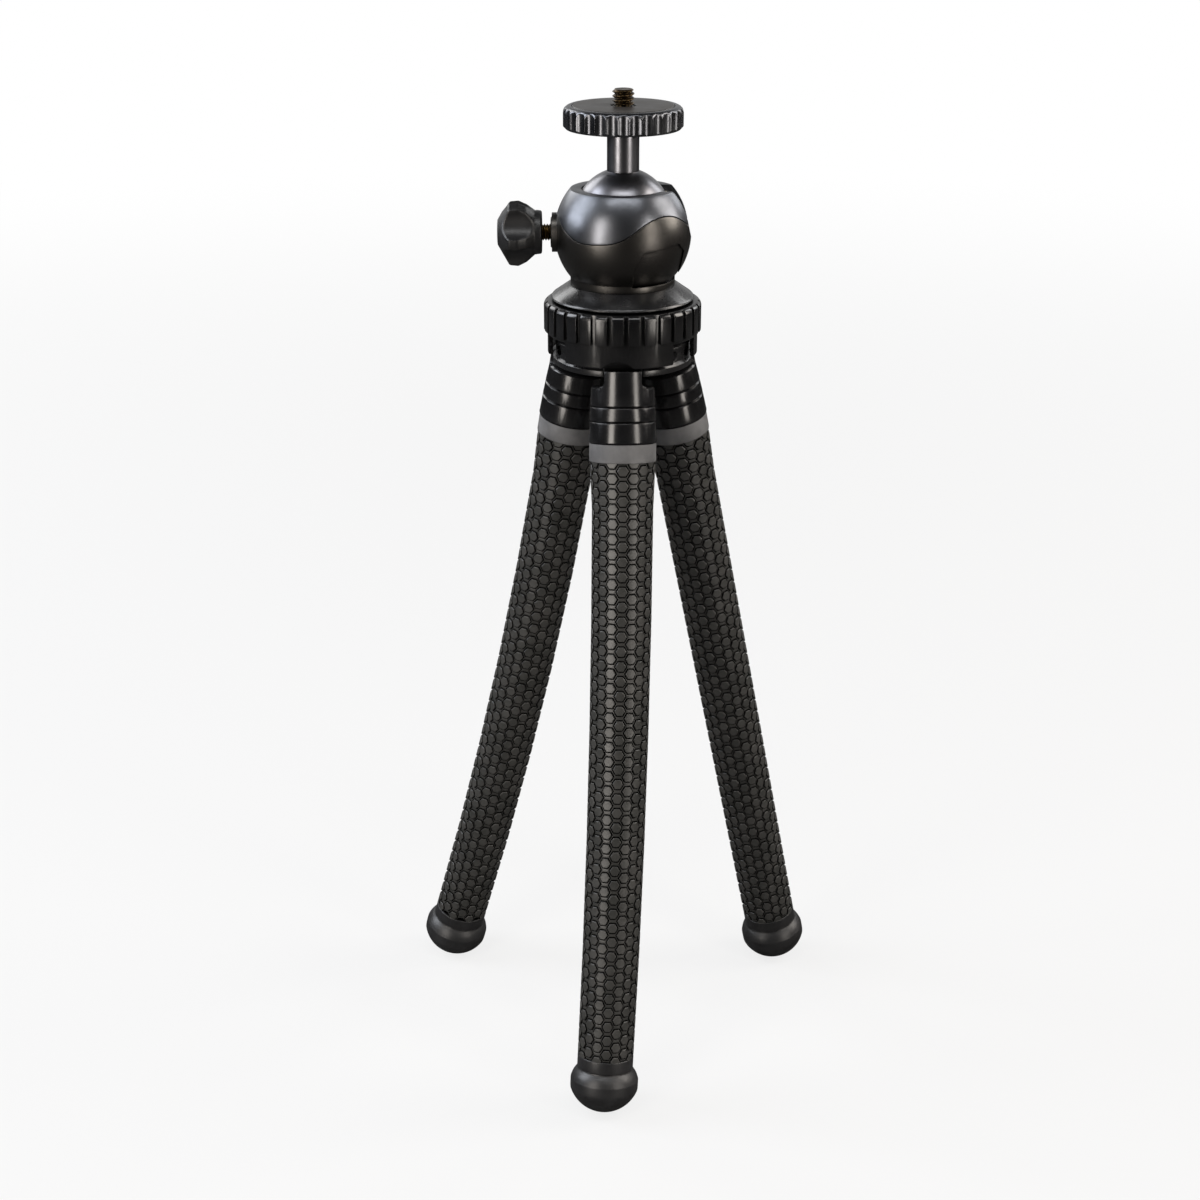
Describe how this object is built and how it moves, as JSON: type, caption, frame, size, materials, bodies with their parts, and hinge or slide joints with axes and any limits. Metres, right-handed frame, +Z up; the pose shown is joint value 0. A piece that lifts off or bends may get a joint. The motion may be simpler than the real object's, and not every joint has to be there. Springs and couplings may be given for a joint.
{
  "type": "flexible leg tripod",
  "caption": "Mini tripod with flexible rubber-sleeved legs, a turning lock ring and a small ball head with a fluted camera wheel and clamp knob.",
  "frame": {"origin": "on the floor under the middle of the hub", "axes": "+Z up, the first leg points to -Y, the clamp knob to -X, the tilt slot to +X"},
  "size_m": [0.1299, 0.1143, 0.2979],
  "materials": {
    "brass": "machined, dulled",
    "wheel_metal": "satin black anodised",
    "pad_rubber": "smooth matte",
    "stem_metal": "satin gunmetal",
    "nylon": "natural",
    "shell_metal": "satin gunmetal anodised",
    "knob_plastic": "fine matte",
    "plate_plastic": "satin",
    "ring_plastic": "satin",
    "hub_plastic": "satin",
    "cap_plastic": "semi-gloss",
    "sleeve_rubber": "matte, studded",
    "foot_rubber": "smooth matte",
    "core_metal": "turned",
    "steel": "zinc plated"
  },
  "bodies": {
    "hub_base": {"hub": "hub_plastic", "hub_cover": "hub_plastic", "pan_washer": "nylon", "leg_pin_1": "steel", "leg_pin_2": "steel", "leg_pin_3": "steel"},
    "head": {"base_plate": "plate_plastic", "housing_lower": "shell_metal", "housing_upper": "shell_metal", "ball_liner": "nylon", "clamp_bushing": "brass", "pan_bolt": "steel", "spring_washer": "steel"},
    "ball_carrier": {"ball_seat": "nylon"},
    "ball": {"ball_stem": "stem_metal", "camera_screw": "brass"},
    "camera_wheel": {"platform_wheel": "wheel_metal", "platform_pad": "pad_rubber"},
    "clamp": {"clamp_shoe": "nylon"},
    "knob": {"clamp_knob": "knob_plastic", "clamp_screw": "brass"},
    "ring": {"lock_ring": "ring_plastic"},
    "leg_1_top": {"leg_cap_1": "cap_plastic", "leg_1_link_1": "core_metal", "leg_sleeve_1": "sleeve_rubber"},
    "leg_1_part_2": {"leg_1_link_2": "core_metal"},
    "leg_1_part_3": {"leg_1_link_3": "core_metal"},
    "leg_1_part_4": {"leg_1_link_4": "core_metal"},
    "leg_1_part_5": {"leg_1_link_5": "core_metal"},
    "leg_1_end": {"leg_1_link_6": "core_metal", "foot_1": "foot_rubber"},
    "leg_2_top": {"leg_cap_2": "cap_plastic", "leg_2_link_1": "core_metal", "leg_sleeve_2": "sleeve_rubber"},
    "leg_2_part_2": {"leg_2_link_2": "core_metal"},
    "leg_2_part_3": {"leg_2_link_3": "core_metal"},
    "leg_2_part_4": {"leg_2_link_4": "core_metal"},
    "leg_2_part_5": {"leg_2_link_5": "core_metal"},
    "leg_2_end": {"leg_2_link_6": "core_metal", "foot_2": "foot_rubber"},
    "leg_3_top": {"leg_cap_3": "cap_plastic", "leg_3_link_1": "core_metal", "leg_sleeve_3": "sleeve_rubber"},
    "leg_3_part_2": {"leg_3_link_2": "core_metal"},
    "leg_3_part_3": {"leg_3_link_3": "core_metal"},
    "leg_3_part_4": {"leg_3_link_4": "core_metal"},
    "leg_3_part_5": {"leg_3_link_5": "core_metal"},
    "leg_3_end": {"leg_3_link_6": "core_metal", "foot_3": "foot_rubber"}
  },
  "joints": [
    {"name": "head_pan", "type": "hinge", "parent": "hub_base", "child": "head", "pos_m": [0, 0, 0.238], "axis": [0, 0, 1], "continuous": true},
    {"name": "ball_side_tilt", "type": "hinge", "parent": "head", "child": "ball_carrier", "pos_m": [0, 0, 0.26149], "axis": [1, 0, 0], "range_deg": [-24, 24]},
    {"name": "ball_tilt", "type": "hinge", "parent": "ball_carrier", "child": "ball", "pos_m": [0, 0, 0.26149], "axis": [0, 1, 0], "range_deg": [-24, 90]},
    {"name": "wheel_spin", "type": "hinge", "parent": "ball", "child": "camera_wheel", "pos_m": [0, 0, 0.29], "axis": [0, 0, 1], "continuous": true},
    {"name": "shoe_slide", "type": "slide", "parent": "head", "child": "clamp", "axis": [-1, 0, 0], "range_m": [0, 0.001]},
    {"name": "clamp_turn", "type": "hinge", "parent": "clamp", "child": "knob", "pos_m": [-0.028, 0, 0.25719], "axis": [-1, 0, 0], "range_deg": [0, 450]},
    {"name": "ring_turn", "type": "hinge", "parent": "hub_base", "child": "ring", "pos_m": [0, 0, 0.23], "axis": [0, 0, 1], "range_deg": [-56, 4]},
    {"name": "leg_1_fold", "type": "hinge", "parent": "hub_base", "child": "leg_1_top", "pos_m": [0, -0.013, 0.2236], "axis": [-1, 0, 0], "range_deg": [-12.6, 0]},
    {"name": "leg_1_bend_1", "type": "hinge", "parent": "leg_1_top", "child": "leg_1_part_2", "pos_m": [0, -0.0226, 0.18066], "axis": [0, -0.9759, 0.2181], "range_deg": [-40, 40], "deforming": ["leg_sleeve_1"]},
    {"name": "leg_1_bend_2", "type": "hinge", "parent": "leg_1_part_2", "child": "leg_1_part_3", "pos_m": [-0.00033, -0.02991, 0.14797], "axis": [0.9998, -0.0043, -0.0191], "range_deg": [-40, 40], "deforming": ["leg_sleeve_1"]},
    {"name": "leg_1_bend_3", "type": "hinge", "parent": "leg_1_part_3", "child": "leg_1_part_4", "pos_m": [-0.00098, -0.03721, 0.11528], "axis": [0, 0.9759, -0.2181], "range_deg": [-40, 40], "deforming": ["leg_sleeve_1"]},
    {"name": "leg_1_bend_4", "type": "hinge", "parent": "leg_1_part_4", "child": "leg_1_part_5", "pos_m": [-0.00196, -0.04452, 0.0826], "axis": [-0.9992, 0.0085, 0.0381], "range_deg": [-40, 40], "deforming": ["leg_sleeve_1"]},
    {"name": "leg_1_bend_5", "type": "hinge", "parent": "leg_1_part_5", "child": "leg_1_end", "pos_m": [-0.00327, -0.05182, 0.04993], "axis": [0, -0.9759, 0.2181], "range_deg": [-40, 40], "deforming": ["leg_sleeve_1"]},
    {"name": "leg_2_fold", "type": "hinge", "parent": "hub_base", "child": "leg_2_top", "pos_m": [0.01126, 0.0065, 0.2236], "axis": [0.5, -0.866, 0], "range_deg": [-12.6, 0]},
    {"name": "leg_2_bend_1", "type": "hinge", "parent": "leg_2_top", "child": "leg_2_part_2", "pos_m": [0.01957, 0.0113, 0.18066], "axis": [0.8452, 0.488, 0.2181], "range_deg": [-40, 40], "deforming": ["leg_sleeve_2"]},
    {"name": "leg_2_bend_2", "type": "hinge", "parent": "leg_2_part_2", "child": "leg_2_part_3", "pos_m": [0.0259, 0.01495, 0.14797], "axis": [-0.5, 0.866, 0], "range_deg": [-40, 40], "deforming": ["leg_sleeve_2"]},
    {"name": "leg_2_bend_3", "type": "hinge", "parent": "leg_2_part_3", "child": "leg_2_part_4", "pos_m": [0.03223, 0.01861, 0.11527], "axis": [-0.8452, -0.488, -0.2181], "range_deg": [-40, 40], "deforming": ["leg_sleeve_2"]},
    {"name": "leg_2_bend_4", "type": "hinge", "parent": "leg_2_part_4", "child": "leg_2_part_5", "pos_m": [0.03856, 0.02226, 0.08258], "axis": [0.5, -0.866, 0], "range_deg": [-40, 40], "deforming": ["leg_sleeve_2"]},
    {"name": "leg_2_bend_5", "type": "hinge", "parent": "leg_2_part_5", "child": "leg_2_end", "pos_m": [0.04489, 0.02591, 0.04989], "axis": [0.8452, 0.488, 0.2181], "range_deg": [-40, 40], "deforming": ["leg_sleeve_2"]},
    {"name": "leg_3_fold", "type": "hinge", "parent": "hub_base", "child": "leg_3_top", "pos_m": [-0.01126, 0.0065, 0.2236], "axis": [0.5, 0.866, 0], "range_deg": [-10.4, 0]},
    {"name": "leg_3_bend_1", "type": "hinge", "parent": "leg_3_top", "child": "leg_3_part_2", "pos_m": [-0.01817, 0.01049, 0.18033], "axis": [-0.848, 0.4896, 0.2032], "range_deg": [-40, 40], "deforming": ["leg_sleeve_3"]},
    {"name": "leg_3_bend_2", "type": "hinge", "parent": "leg_3_part_2", "child": "leg_3_part_3", "pos_m": [-0.02406, 0.01389, 0.14753], "axis": [-0.5, -0.866, 0], "range_deg": [-40, 40], "deforming": ["leg_sleeve_3"]},
    {"name": "leg_3_bend_3", "type": "hinge", "parent": "leg_3_part_3", "child": "leg_3_part_4", "pos_m": [-0.03059, 0.01766, 0.11489], "axis": [0.8393, -0.4845, -0.2467], "range_deg": [-40, 40], "deforming": ["leg_sleeve_3"]},
    {"name": "leg_3_bend_4", "type": "hinge", "parent": "leg_3_part_4", "child": "leg_3_part_5", "pos_m": [-0.03775, 0.02179, 0.08242], "axis": [0.5, 0.866, 0], "range_deg": [-40, 40], "deforming": ["leg_sleeve_3"]},
    {"name": "leg_3_bend_5", "type": "hinge", "parent": "leg_3_part_5", "child": "leg_3_end", "pos_m": [-0.04553, 0.02629, 0.05015], "axis": [-0.8289, 0.4785, 0.2898], "range_deg": [-40, 40], "deforming": ["leg_sleeve_3"]}
  ],
  "couplings": [
    {"joint": "shoe_slide", "follows": "clamp_turn", "m_per_rad": 0.00012732}
  ]
}
